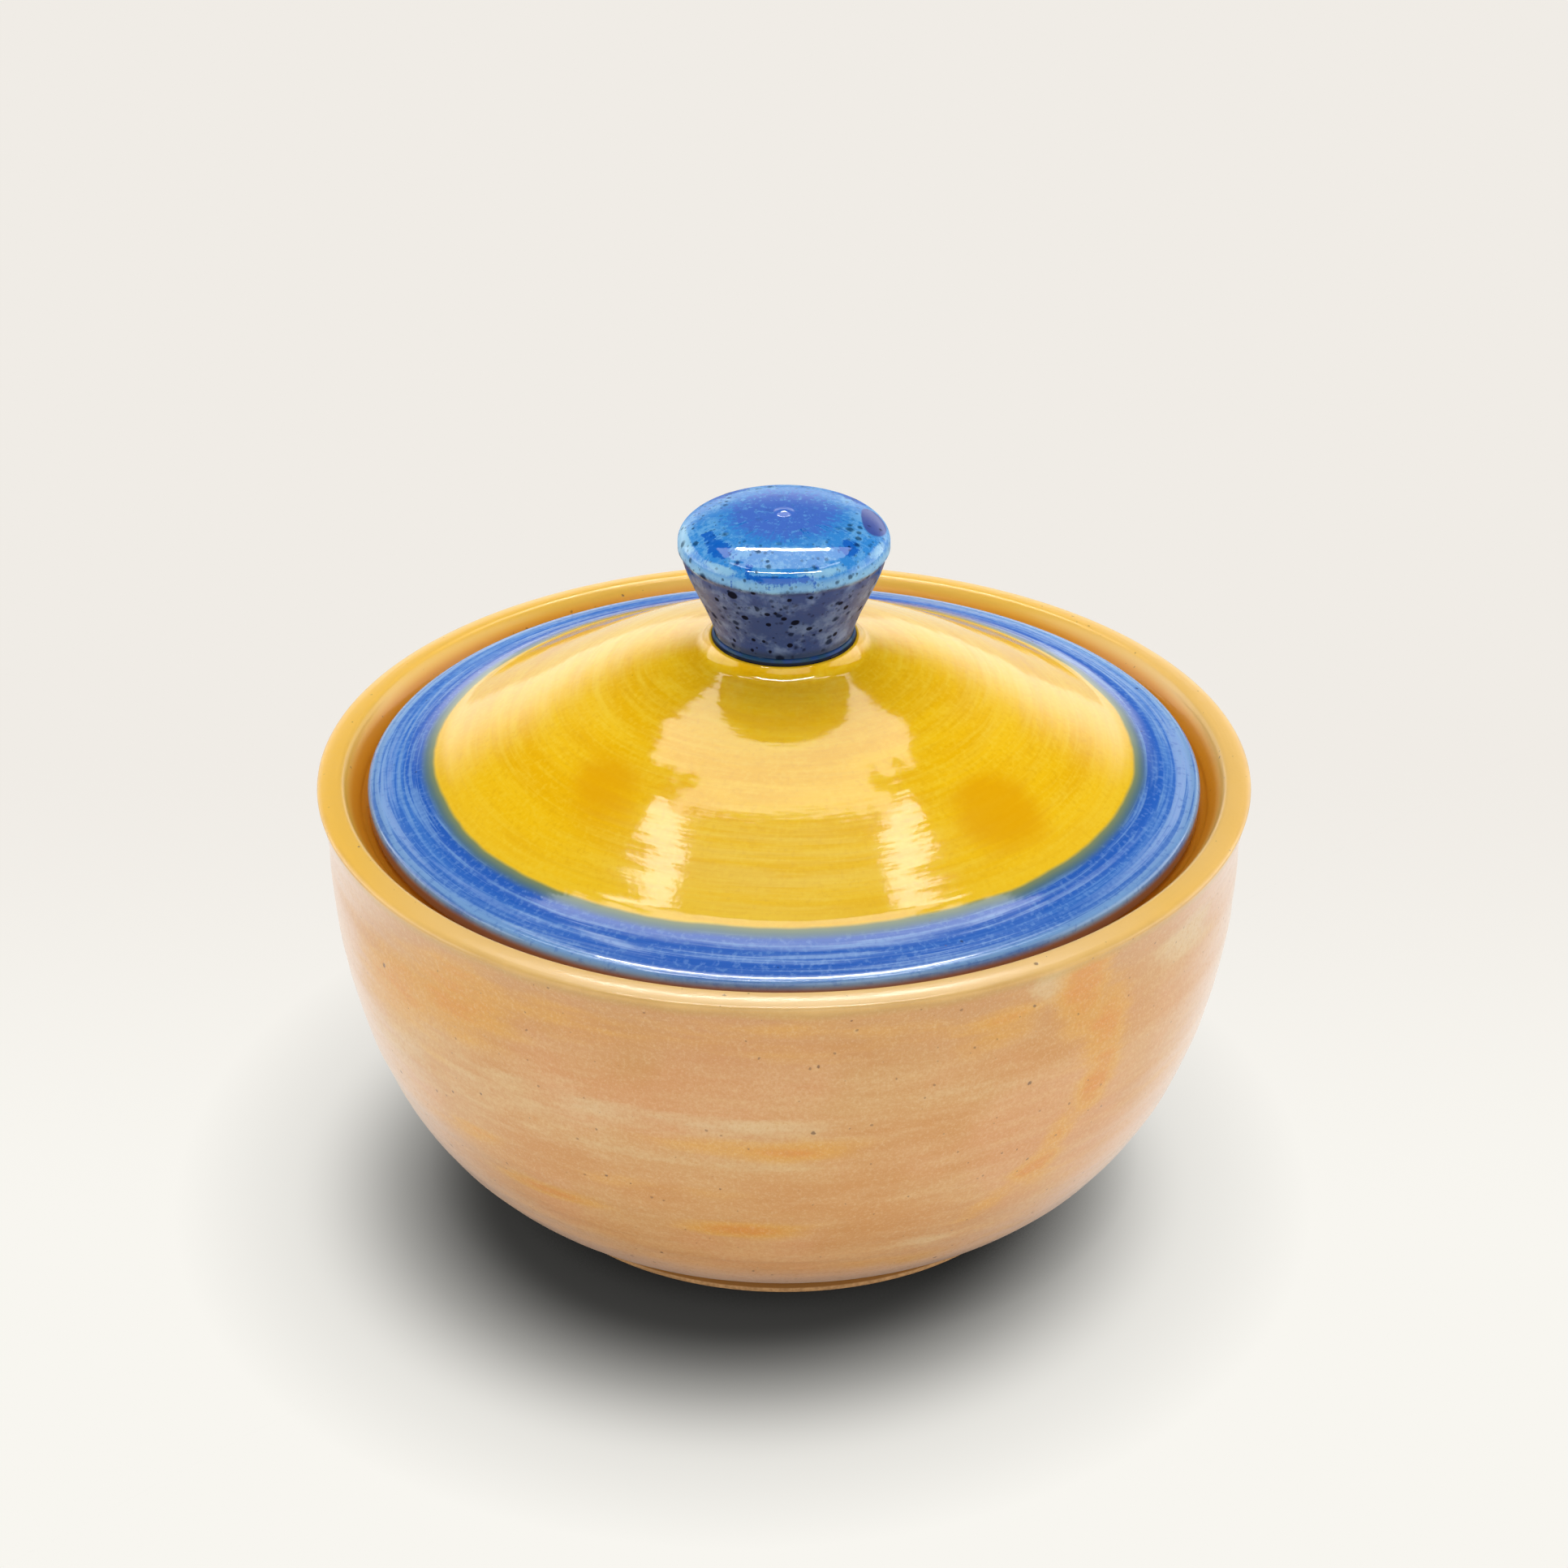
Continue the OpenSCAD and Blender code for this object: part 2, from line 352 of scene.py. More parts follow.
# the bowl
bowlShape = {
    "inset": 0.03,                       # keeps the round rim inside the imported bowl
    "wall": 4.4, "bellyRadius": 70.5, "bellyUpright": 0.29, "bellyLowRadius": 0.91,
    "bellyLowHeight": 0.186, "floor": 5.8, "floorShare": 0.42,
    "rollWidth": 3.6, "rollDrop": 1.1, "flare": 9.4, "backDrop": 0.24,
    "footRadius": 41.9, "footHeight": 3.6, "footWidth": 5.6, "groove": 1.1, "recess": 2.2, "recessSlope": 1.2,
    "seatDepth": 4.3, "seatWidth": 5.2, "seatThick": 2.6, "seatGap": 0.9, "seatSlope": 1.3,
    "turns": 240, "step": 1.0,
}


def bowlOutline(s):
    rim = bowlRadius - s["inset"]
    crest = rim - s["rollWidth"]
    widest = bowlTop - s["rollDrop"]
    top = widest - s["flare"]
    belly = s["bellyRadius"]
    foot, footTop, recess = s["footRadius"], s["footHeight"], s["recess"]
    standing = foot - s["footWidth"]
    seat = bowlTop - s["seatDepth"]
    seatRadius = lidRadius + s["seatGap"]
    ledge = seatRadius - s["seatWidth"]
    inside = belly - s["wall"]
    root = seat - s["seatThick"] - s["seatSlope"] * s["seatWidth"]
    floor = recess + s["floor"]
    footLine = [
        (0, recess), (standing - s["recessSlope"], recess), (standing, 0.5), (standing + 0.5, 0),
        (foot - 0.5, 0), (foot, 0.5), (foot + 0.2, 0.5 * footTop), (foot - s["groove"], 0.8 * footTop)]
    wall = [
        (foot + 0.85, footTop), (s["bellyLowRadius"] * belly, s["bellyLowHeight"] * top),
        (belly, (1 - s["bellyUpright"]) * top), (belly, top)]
    seatLine = [
        (crest - 0.5, bowlTop - 0.3), (crest - 0.8, bowlTop - 1), (seatRadius + 0.2, seat + 0.5),
        (seatRadius, seat), (ledge + 0.4, seat), (ledge, seat - 0.4), (ledge, seat - s["seatThick"])]
    hollow = [
        (inside, root), (inside, 0.66 * root), (0.92 * inside, floor + 4),
        (s["floorShare"] * belly, floor + 0.9)]
    return outline(
        footLine,
        curve(wall, 120),
        curve([(belly, top), (belly + 0.2, top + 0.55 * s["flare"]), (rim, widest)], 16),
        bow((crest, widest), (s["rollWidth"], s["rollDrop"]), 0, 90, 14),
        seatLine,
        curve(hollow, 70),
        [(0, floor)], step=s["step"])


# glaze laid on by brush and dip: (angle, height, half width in degrees, half height, lean, strength)
bowlGlaze = {
    "ochre": [
        (-43, 59, 11, 8, 0.1, 0.95), (-56, 54, 12, 8, 0.3, 0.85), (-28, 62, 16, 4, 0, 0.5),
        (-49, 46, 3.5, 7, 0, 0.35), (1, 42.6, 10, 2.2, 0.03, 0.8), (-9, 43.2, 12, 1.8, 0, 0.65),
        (-6, 25.6, 9, 2.0, 0.02, 1.0), (-34, 26.4, 9, 1.8, 0.02, 1.0), (-44, 33, 6, 1.6, 0.05, 0.8),
        (0, 63, 24, 4, 0, 0.42), (27, 61, 7, 4, 0.2, 0.62), (38.5, 62, 4.8, 8, 0, 1.0),
        (43, 55, 4.2, 7, 0.4, 0.95), (42.5, 45, 4.0, 7, 1.0, 0.95), (36.5, 34, 3.6, 6, 1.1, 0.95),
        (33.5, 31, 3, 3, 0.4, 0.95), (29, 26, 4.5, 2.6, 0.6, 0.6), (-18, 33, 14, 1.6, 0.02, 0.35),
        (12, 15, 16, 2, 0.01, 0.4), (110, 44, 16, 3, 0.05, 0.7), (150, 58, 9, 8, 0.2, 0.85),
        (-120, 40, 12, 2, 0.1, 0.7), (-160, 60, 12, 6, 0.2, 0.8), (175, 30, 10, 2, 0.05, 0.8),
        (80, 24, 9, 1.8, 0, 0.7), (-90, 27, 10, 1.8, 0, 0.7),
    ],
    "cream": [
        (-52, 44, 16, 9, 0, 0.6), (-30, 40, 20, 5, 0, 0.35), (33, 65.6, 3.2, 3.6, 0, 1.0),
        (59, 61, 8, 4.2, -0.1, 0.85), (-18, 45, 30, 6, -0.02, 0.5), (-12, 40, 22, 1.8, 0, 0.6),
        (-16, 47.5, 26, 2.2, -0.02, 0.75), (19, 19, 7, 2.4, 0, 0.6), (-28, 52, 9, 2.4, 0, 0.4),
        (24, 50, 10, 3, 0, 0.4), (130, 52, 16, 3, 0.03, 0.7), (-130, 50, 18, 3, 0, 0.7),
        (170, 46, 15, 3, 0, 0.7), (-95, 60, 9, 4, 0, 0.6),
    ],
}
bowlLine = bowlOutline(bowlShape)
bowlAlong = lengthAlong(bowlLine)
wallEnd = bowlAlong[np.argmax(bowlLine[:, 1])]          # length of the outline up to the rim's crest
wallStart = bowlAlong[np.argmax(bowlLine[:, 0] > bowlShape["footRadius"] + 0.6)]


def bowlRelief(along, r, z, a):
    # rings fade out on the rim, the seat and the foot; everything stays inside the plain outline
    outside = fade(z, 6, 12) * fade(z, 66, 60) * (along < wallEnd)
    inside = fade(z, 10, 18) * fade(z, 52, 46) * (along > wallEnd + 14)
    hand = throwingRings(z, a, 6.5, 0.10, 4) - 0.10 + throwingRings(z, a, 2.2, 0.025, 9) - 0.025
    return hand * (outside + inside)


bowl = spin("bowlClay", bowlLine, bowlShape["turns"], bowlRelief, {
    "along": lambda s, r, z, a: s - wallEnd + 0 * a,
    "ochre": lambda s, r, z, a: placed(bowlGlaze["ochre"], a, z) * (s < wallEnd),
    "cream": lambda s, r, z, a: placed(bowlGlaze["cream"], a, z) * (s < wallEnd),
})
# the rim's back sits a little lower than its front, as thrown
co = np.empty(len(bowl.data.vertices) * 3)
bowl.data.vertices.foreach_get("co", co)
co = co.reshape(-1, 3)
back = (1 + co[:, 1] / (bowlRadius * mm)) / 2           # 0 at the rim's front, 1 at its back
co[:, 2] -= bowlShape["backDrop"] * mm * back * fade(co[:, 2] / mm, 45, 69)
bowl.data.vertices.foreach_set("co", co.ravel())
bowl.data.update()
print("bowl", len(bowl.data.polygons), "faces")

peach = {
    "body": srgb(206, 158, 98), "pale": srgb(220, 184, 134), "deep": srgb(200, 142, 76),
    "blush": srgb(214, 154, 106), "low": srgb(222, 170, 126), "shade": srgb(190, 134, 82),
    "grazingSheen": srgb(238, 212, 196), "cream": srgb(218, 202, 158), "ochre": srgb(216, 158, 60),
    "orange": srgb(212, 132, 36), "rim": srgb(246, 194, 78), "rimPaintedHighlight": srgb(238, 196, 124),
    "rimEdge": srgb(190, 156, 72), "inner": srgb(232, 152, 36), "inside": srgb(226, 172, 66),
    "footGrooveShade": srgb(128, 86, 36), "clay": srgb(186, 148, 102), "clayDark": srgb(158, 122, 80),
    "speck": srgb(88, 58, 36), "bump": 0.00008,
    "roughness": 0.4, "specular": 0.2, "coat": 0.8, "coatRoughness": 0.2, "coatIor": 1.6,
}


def peachGlaze():
    material, pen, shader = newMaterial("peachGlaze", peach)
    axis = aboutAxis(pen)
    height, along = axis["height"], pen.stored("along")
    fine = pen.group(streaks, Across=height, Per_mm=0.42, Round=4.5, Detail=3.0, Seed=3.1, Drift=1.2)
    broad = pen.group(streaks, Across=height, Per_mm=0.16, Round=1.8, Detail=3.0, Seed=11.0, Drift=3.0)
    cloud = pen.group(mottle, Per_mm=0.05, Detail=4.0, Seed=2.0)
    flush = pen.group(mottle, Per_mm=0.035, Detail=3.0, Seed=31.0)
    grain = pen.group(mottle, Per_mm=1.4, Detail=3.0, Seed=5.0)
    sand = pen.group(mottle, Per_mm=2.6, Detail=2.0, Roughness=0.7, Seed=15.0)
    # the ground: broad patches and fine streaks, pinker low down, painted shade darker under the rim, and a
    # painted sheen at the edges
    patch = pen.plus(pen.times(broad, 0.6), pen.times(cloud, 0.4))
    colour = pen.mix(pen.ramp(patch, 0.4, 0.6), peach["deep"], peach["body"])
    colour = pen.mix(pen.ramp(flush, 0.46, 0.62, 0.0, 0.5), colour, peach["blush"])
    colour = pen.mix(pen.ramp(fine, 0.4, 0.72, 0.0, 0.3), colour, peach["pale"])
    colour = pen.mix(pen.ramp(height, 26.0, 4.0, 0.0, 0.8), colour, peach["low"])
    colour = pen.mix(pen.ramp(height, 54.0, 66.0, 0.0, 0.5), colour, peach["shade"])
    # painted sheen: the wall turns paler where it faces away from view, at its edges
    colour = pen.mix(pen.ramp(pen.facing(), 0.6, 0.98, 0.0, 0.75), colour, peach["grazingSheen"])
    # cream washes and ochre dabs with brushed edges
    edge = pen.plus(pen.around(fine, 1.1), pen.around(cloud, 0.9))
    washes = pen.plus(pen.stored("cream"), edge)
    dabs = pen.plus(pen.stored("ochre"), edge)
    colour = pen.mix(pen.ramp(washes, 0.2, 1.0, 0.0, 0.55), colour, peach["cream"])
    colour = pen.mix(pen.ramp(dabs, 0.05, 0.85, 0.0, 0.85), colour, peach["ochre"])
    colour = pen.mix(pen.ramp(dabs, 0.62, 1.15, 0.0, 0.85), colour, peach["orange"])
    # the clay's grain shows through
    colour = pen.mix(pen.ramp(grain, 0.45, 0.7, 0.0, 0.34), colour, peach["deep"])
    colour = pen.mix(pen.ramp(grain, 0.5, 0.3, 0.0, 0.28), colour, peach["pale"])
    colour = pen.mix(pen.ramp(sand, 0.5, 0.68, 0.0, 0.34), colour, peach["deep"])
    colour = pen.mix(pen.ramp(sand, 0.5, 0.32, 0.0, 0.28), colour, peach["pale"])
    # the honey glaze of the inside laps over the rim, with a greenish edge where the two meet, and a painted
    # highlight paler on the rim's front and right
    lapNoise = pen.group(streaks, Across=0.0, Per_mm=0.2, Round=6.0, Detail=4.0, Seed=21.0)
    lap = pen.plus(along, pen.around(lapNoise, 1.6))
    colour = pen.mix(pen.ramp(lap, -6.4, -4.4, 0.0, 0.45), colour, peach["rimEdge"])
    # painted highlight: the rim turns paler towards the front and the right
    frontHighlightMask = pen.ramp(axis["cosine"], -0.35, -0.95)
    rightHighlightMask = pen.ramp(axis["sine"], 0.5, 0.95, 0.0, 0.5)
    honey = pen.mix(pen.larger(frontHighlightMask, rightHighlightMask), peach["rim"], peach["rimPaintedHighlight"])
    colour = pen.mix(pen.ramp(lap, -5.0, -2.6), colour, honey)
    # deeper amber just inside the crest: partly the glaze, partly painted shade in the gap under the lid
    colour = pen.mix(pen.ramp(along, 1.0, 3.2), colour, peach["inner"])
    inside = pen.mix(pen.ramp(fine, 0.35, 0.65), peach["inside"], peach["rim"])
    colour = pen.mix(pen.ramp(along, 9.0, 16.0), colour, inside)
    # rust specks, and pepper finer than they are
    rust = pen.group(specks, Per_mm=0.22, Size=0.075, Share=0.55, Seed=1.0)
    pepper = pen.group(specks, Per_mm=0.55, Size=0.11, Share=0.55, Seed=9.0)
    colour = pen.mix(pen.times(rust, 0.72), colour, peach["speck"])
    colour = pen.mix(pen.times(pepper, 0.5), colour, peach["speck"])
    # bare clay from the groove down, turned underneath, with painted shade darkening the foot's outside up
    # into the groove
    bare = pen.ramp(along, wallStart - wallEnd + 0.5, wallStart - wallEnd - 0.1)
    turned = pen.group(
        streaks, Across=axis["radius"], Per_mm=0.5, Round=1.5, Detail=3.0, Seed=41.0, Drift=2.0)
    clay = pen.mix(pen.ramp(grain, 0.35, 0.65), peach["clay"], peach["clayDark"])
    clay = pen.mix(pen.ramp(turned, 0.52, 0.68, 0.0, 0.6), clay, peach["clayDark"])
    # painted shade: darker on the foot's outside from 1.25 mm up, into the groove
    grooveShadeMask = pen.times(pen.ramp(height, 0.95, 1.25), pen.ramp(axis["radius"], 39.0, 40.2))
    colour = pen.mix(bare, colour, pen.mix(grooveShadeMask, clay, peach["footGrooveShade"]))
    relief = pen.group(
        skin, Across=along, Rings=0.6, Ring_Per_mm=0.8, Peel=0.5, Peel_Per_mm=0.7, Seed=7.0)
    wire(pen, shader, colour, pen.minus(relief, pen.times(rust, 0.4)), peach["bump"])
    # the wall is streaked with duller glaze, the rim shines less than the wall, the clay not at all
    roughness = pen.plus(pen.ramp(fine, 0.3, 0.7, 0.28, 0.42), pen.times(bare, 0.4))
    pen.link(roughness, shader["Roughness"])
    glazed = pen.ramp(bare, 0.0, 1.0, peach["coat"], 0.0)
    pen.link(pen.times(glazed, pen.ramp(along, -5.0, -3.0, 1.0, 0.45)), shader["Coat Weight"])
    return material


bowl.data.materials.append(peachGlaze())
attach(bowl, "bowl")
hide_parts("bowl")

# the lid
lidShape = {
    "edge": 3.6, "edgeRound": 1.1, "wall": 4.4, "restWidth": 5.0, "collarDrop": 2.0,
    "shoulderRadius": 31.0, "shoulderSlope": 19.0, "shoulderRun": 9.0,
    "brimWidth": 10.0, "brimHeight": 2.5, "brimInner": 2.5, "brimOuter": 8.0,
    "turns": 240, "step": 0.42,
}


def lidOutline(s):
    edge = lidSeat + s["edge"]
    slope = math.tan(math.radians(s["shoulderSlope"]))
    collar = (slipRadius + 2.5, lidTop - s["collarDrop"])
    shoulder = (s["shoulderRadius"], collar[1] - (s["shoulderRadius"] - collar[0]) * slope)
    brim = (lidRadius - s["brimWidth"], edge + s["brimHeight"])
    lip = (lidRadius - s["edgeRound"], edge)
    side = math.atan2(shoulder[1] - brim[1], brim[0] - shoulder[0])
    rest = lidRadius - s["restWidth"]
    under = (brim[0] - s["wall"] * math.sin(side), brim[1] - s["wall"] * math.cos(side))
    reach = 0.4 * brim[0]
    crown = lidTop - 1.3 * s["wall"]
    hollow = [
        under, (under[0] - reach, under[1] + reach * math.tan(side)), (0.4 * under[0], crown), (0, crown)]
    run = s["shoulderRun"]
    top = outline(
        [(0, lidTop)],
        curve([(slipRadius + 0.4, lidTop), (slipRadius + 1.1, collar[1] + 1.4 * slope), collar], 14),
        curve([toward(shoulder, collar, run), shoulder, toward(shoulder, brim, run)], 24),
        curve([toward(brim, shoulder, s["brimInner"]), brim, toward(brim, lip, s["brimOuter"])], 20),
        bow((lip[0], edge - s["edgeRound"]), (s["edgeRound"], s["edgeRound"]), 90, 0, 10),
        [(lidRadius, lidSeat + 0.7), (lidRadius - 0.7, lidSeat)],
        [(rest, lidSeat), (rest - 0.8, lidSeat + 0.6)],
        curve(hollow, 60),
        step=s["step"])
    return top[::-1]


# rows are (angle, radius, half width in degrees, half width in millimetres, lean, strength)
lidGlaze = {
    "honey": [                           # where the yellow pools darker
        (-44, 38, 13, 6, 0.1, 0.8), (47, 43, 12, 7, 0, 0.9), (180, 50.5, 52, 2.0, 0, 0.8),
        (0, 20, 40, 4, 0, 0.4), (110, 40, 16, 4, 0, 0.5), (-128, 44, 14, 4, 0, 0.5),
    ],
    "creamyAndReflection": [                          # where it thins paler, and at the back a painted reflection
        (0, 44, 30, 9, 0, 0.3), (180, 30, 55, 10, 0, 0.45), (-100, 32, 30, 8, 0, 0.2),
        (100, 32, 30, 8, 0, 0.2),
    ],
    "washAndHighlight": [                            # washes of paler blue in the band; those at the front-left and front-right are painted highlights
        (-27, 59.2, 9, 0.8, 0.19, 1.0), (31, 57.4, 5, 0.9, -0.1, 0.9), (0, 57.4, 46, 1.0, 0, 0.45),
        (-80, 61.5, 30, 1.6, 0, 0.7), (80, 61.5, 30, 1.6, 0, 1.0), (-52, 60.6, 12, 1.0, 0, 0.5),
        (50, 58.4, 16, 0.7, 0, 0.5), (150, 60, 40, 1.6, 0, 0.5),
    ],
    "brush": [                           # strokes of deeper blue over it
        (-42, 57.4, 14, 1.8, 0, 0.9), (0, 61.0, 52, 2.2, 0, 1.0), (0, 59.0, 60, 0.5, 0, 0.9),
        (-100, 57.6, 24, 1.2, 0, 0.6), (60, 56.9, 22, 1.0, 0, 0.35), (44, 61.2, 12, 0.9, 0, 0.6),
        (120, 57.6, 20, 1.2, 0, 0.6),
    ],
}
lidLine = lidOutline(lidShape)
lidEdge = lengthAlong(lidLine)[np.argmax(lidLine[:, 0])]         # length up to the lid's widest point


def lidRelief(along, r, z, a):
    out = fade(r, 12, 15) * fade(r, 62.5, 60.5) * (along > lidEdge)
    under = fade(r, 3, 6) * fade(r, 52, 49) * (along < lidEdge)
    hand = throwingRings(r, a, 2.6, 0.006, 2) - 0.006 + throwingRings(r, a, 9.0, 0.02, 5) - 0.02
    return hand * (out + under)


def onTop(label):
    return lambda s, r, z, a: placed(lidGlaze[label], a, r) * (s > lidEdge)


lid = spin("lidClay", lidLine, lidShape["turns"], lidRelief, {
    "along": lambda s, r, z, a: s - lidEdge + 0 * a,
    "honey": onTop("honey"), "creamyAndReflection": onTop("creamyAndReflection"), "washAndHighlight": onTop("washAndHighlight"), "brush": onTop("brush"),
})
print("lid", len(lid.data.polygons), "faces")

amber = {
    "deep": srgb(236, 180, 2), "body": srgb(242, 192, 16), "pale": srgb(246, 208, 58),
    "line": srgb(224, 164, 4), "honey": srgb(230, 166, 0), "cream": srgb(248, 222, 130),
    "meet": srgb(128, 140, 96), "teal": srgb(88, 118, 128), "cobalt": srgb(42, 96, 190),
    "mid": srgb(70, 126, 204), "sky": srgb(128, 172, 222), "washAndHighlight": srgb(148, 176, 226),
    "edge": srgb(150, 110, 90), "clay": srgb(186, 148, 102), "clayDark": srgb(158, 122, 80),
    "speck": srgb(30, 34, 70), "rust": srgb(120, 80, 20), "bump": 0.00003,
    "roughness": 0.3, "specular": 0.0, "coat": 1.0, "coatRoughness": 0.085, "coatIor": 1.5,
}


def amberGlaze():
    material, pen, shader = newMaterial("amberGlaze", amber)
    radius, along = aboutAxis(pen)["radius"], pen.stored("along")
    band = lidRadius - lidShape["brimWidth"]             # the yellow ends here and the blue begins
    fine = pen.group(streaks, Across=radius, Per_mm=0.75, Round=1.6, Detail=4.0, Seed=1.7, Drift=2.5)
    broad = pen.group(streaks, Across=radius, Per_mm=0.2, Round=1.2, Detail=3.0, Seed=5.3, Drift=4.0)
    hair = pen.group(streaks, Across=radius, Per_mm=1.3, Round=1.7, Detail=4.0, Seed=33.0, Drift=1.2)
    wander = pen.group(streaks, Across=0.0, Per_mm=0.2, Round=2.6, Detail=3.0, Seed=15.0)
    cloud = pen.group(mottle, Per_mm=0.045, Detail=3.0, Seed=9.0)
    grain = pen.group(mottle, Per_mm=1.2, Detail=3.0, Seed=6.0)
    # yellow: broad turns, fine lines and grain, pooled honey, thin cream and a painted reflection at the back
    yellow = pen.mix(pen.ramp(broad, 0.36, 0.62), amber["deep"], amber["body"])
    yellow = pen.mix(pen.ramp(fine, 0.45, 0.72, 0.0, 0.38), yellow, amber["pale"])
    yellow = pen.mix(pen.ramp(hair, 0.5, 0.64, 0.0, 0.25), yellow, amber["pale"])
    yellow = pen.mix(pen.ramp(hair, 0.44, 0.34, 0.0, 0.2), yellow, amber["line"])
    yellow = pen.mix(pen.ramp(grain, 0.5, 0.66, 0.0, 0.3), yellow, amber["pale"])
    yellow = pen.mix(pen.ramp(grain, 0.46, 0.34, 0.0, 0.3), yellow, amber["line"])
    yellow = pen.mix(pen.ramp(radius, band - 7.2, band - 0.7, 0.0, 0.3), yellow, amber["pale"])
    pooled = pen.plus(pen.stored("honey"), pen.times(pen.minus(pen.plus(fine, cloud), 1.0), 0.8))
    yellow = pen.mix(pen.ramp(pooled, 0.2, 0.8, 0.0, 0.85), yellow, amber["honey"])
    # paler cream where the glaze thins, and a painted reflection at the lid's back
    thinAndReflected = pen.times(pen.stored("creamyAndReflection"), pen.ramp(fine, 0.35, 0.6, 0.4, 1.0))
    yellow = pen.mix(thinAndReflected, yellow, amber["cream"])
    # blue: deep inside, paler outwards, with strokes, washes, painted highlights and fine rings
    past = pen.minus(pen.plus(radius, pen.around(wander, 1.6)), band)
    outward = pen.plus(past, pen.around(fine, 2.2))
    blue = pen.mix(pen.ramp(outward, 3.4, 5.8), amber["cobalt"], amber["mid"])
    blue = pen.mix(pen.ramp(outward, 6.6, 8.6, 0.0, 0.9), blue, amber["sky"])
    blue = pen.mix(pen.ramp(fine, 0.52, 0.66, 0.0, 0.3), blue, amber["sky"])
    blue = pen.mix(pen.ramp(broad, 0.56, 0.7, 0.0, 0.5), blue, amber["cobalt"])
    strokes = pen.times(pen.stored("brush"), pen.ramp(hair, 0.62, 0.42, 0.6, 1.0))
    blue = pen.mix(strokes, blue, amber["cobalt"])
    # paler blue washes, with painted highlights among them on the front-left and front-right
    washes = pen.times(pen.stored("washAndHighlight"), pen.ramp(hair, 0.38, 0.58, 0.2, 1.0))
    blue = pen.mix(washes, blue, amber["washAndHighlight"])
    blue = pen.mix(pen.ramp(hair, 0.53, 0.62, 0.0, 0.5), blue, amber["sky"])
    blue = pen.mix(pen.ramp(hair, 0.47, 0.38, 0.0, 0.6), blue, amber["cobalt"])
    blue = pen.mix(pen.ramp(grain, 0.5, 0.66, 0.0, 0.3), blue, amber["sky"])
    blue = pen.mix(pen.ramp(grain, 0.46, 0.34, 0.0, 0.3), blue, amber["cobalt"])
    # the two run into each other in a thin greenish line
    meeting = pen.mix(pen.ramp(past, -0.3, 1.0), amber["meet"], amber["teal"])
    colour = pen.mix(pen.ramp(past, -0.7, 0.0), yellow, meeting)
    colour = pen.mix(pen.ramp(past, 0.7, 2.1), colour, blue)
    colour = pen.mix(pen.ramp(along, 2.2, 1.0), colour, amber["edge"])
    # dark specks in the blue, a few rusty ones everywhere
    dark = pen.group(specks, Per_mm=0.3, Size=0.08, Share=0.5, Seed=3.0)
    few = pen.group(specks, Per_mm=0.13, Size=0.04, Share=0.6, Seed=8.0)
    inBlue = pen.times(dark, pen.ramp(past, 0.8, 1.8))
    colour = pen.mix(pen.times(inBlue, 0.7), colour, amber["speck"])
    colour = pen.mix(pen.times(few, 0.45), colour, amber["rust"])
    # underneath: yellow glaze in the hollow, bare clay on the rest
    under = pen.ramp(along, 0.2, -0.4)
    bare = pen.times(under, pen.ramp(along, -9.0, -7.5))
    hollow = pen.mix(pen.ramp(fine, 0.4, 0.65), amber["body"], amber["pale"])
    clay = pen.mix(grain, amber["clay"], amber["clayDark"])
    colour = pen.mix(under, colour, pen.mix(bare, hollow, clay))
    relief = pen.group(
        skin, Across=radius, Rings=0.8, Ring_Per_mm=0.55, Peel=0.8, Peel_Per_mm=0.45, Seed=4.0)
    wire(pen, shader, colour, pen.plus(relief, pen.times(hair, 0.25)), amber["bump"])
    # the band shines less, in streaks, and the clay not at all
    onBand = pen.times(pen.ramp(past, 2.0, 4.0), pen.ramp(radius, lidRadius - 1.2, lidRadius - 1.8))
    dull = pen.times(onBand, pen.ramp(hair, 0.46, 0.62, 0.94, 0.5))
    glazed = pen.times(pen.minus(1.0, dull), pen.minus(1.0, bare))
    pen.link(pen.times(glazed, amber["coat"]), shader["Coat Weight"])
    return material


lid.data.materials.append(amberGlaze())
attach(lid, "lid")
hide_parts("lid")

# the knob and its ring of slip
knobShape = {
    "waist": 10.7, "cap": 5.3, "capPower": 2.25, "lip": 0.8, "nibRadius": 1.6, "nib": 0.5,
    "turns": 288, "step": 0.3,
}
slipShape = {"turns": 240, "step": 0.25}
capFoot = knobTop - knobShape["cap"]


def knobOutline(s):
    # the cap is a superellipse: (r / radius)^power + (rise / height)^power = 1
    side = capFoot - knobFoot
    power, lip, nib, tip = s["capPower"], s["lip"], s["nib"], s["nibRadius"]
    u = np.sin(np.linspace(0, math.pi / 2, 60))
    r = knobRadius * np.clip(1 - u**power, 0, 1)**(1 / power)
    cap = np.stack([r, capFoot + (s["cap"] - nib) * u], 1)
    flare = [
        (s["waist"], knobFoot), (s["waist"] + 0.1, knobFoot + 0.18 * side),
        (0.945 * knobRadius, knobFoot + 0.66 * side), (knobRadius - 0.5, capFoot - 2 * lip)]
    return outline(
        [(0, knobFoot)],
        curve(flare, 40),
        [(knobRadius, capFoot - lip)],
        cap[cap[:, 0] > tip],
        curve([(tip, knobTop - nib), (0.4 * tip, knobTop - 0.1 * nib), (0, knobTop)], 8),
        step=s["step"])


def slipOutline(s):
    # a low bead from the lid up to the knob's waist
    bead = [
        (slipRadius, slipFoot), (slipRadius - 0.1, slipFoot + 0.3), (slipRadius - 0.2, slipFoot + 0.7),
        (knobShape["waist"], slipTop)]
    return outline([(0, slipFoot)], bead, [(0, slipTop)], step=s["step"])


def knobRelief(along, r, z, a):
    side = fade(z, knobFoot + 1.4, knobFoot + 3.4) * fade(z, capFoot - 1.3, capFoot - 2.3)
    return side * (throwingRings(z, a, 3.0, 0.03, 6) - 0.03)


